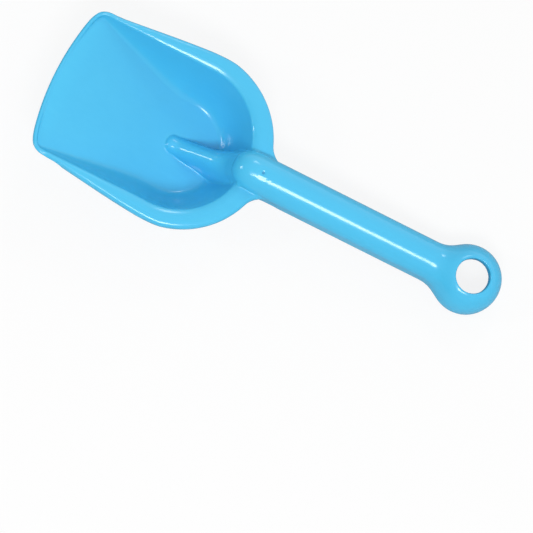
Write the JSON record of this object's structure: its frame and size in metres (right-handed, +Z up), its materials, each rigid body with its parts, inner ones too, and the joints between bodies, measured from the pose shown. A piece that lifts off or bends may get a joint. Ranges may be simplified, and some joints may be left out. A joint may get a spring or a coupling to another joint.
{
  "type": "sand shovel",
  "caption": "Child's one-piece sand shovel: deep scoop with a flanged rim and a ridge on its floor, an open-backed handle and a hollow hanging ring.",
  "frame": {"origin": "bottom centre of the bounding box, on the ground that the shovel lies on", "axes": "+Z up, +X along the shovel towards its digging edge; the shovel lies with its opening up, on the back of the ring's foot and on the bowl's heel; its left and right halves mirror across Y"},
  "size_m": [0.2488, 0.094, 0.0446],
  "materials": {
    "moulding": "glossy sky blue, moulded in colour"
  },
  "bodies": {
    "root": {"hanging_ring": "moulding", "handle_shell": "moulding", "handle_nose": "moulding", "floor_ridge": "moulding", "scoop_pan": "moulding", "rim_flange": "moulding", "rim_lip": "moulding", "front_edge": "moulding"}
  },
  "joints": []
}
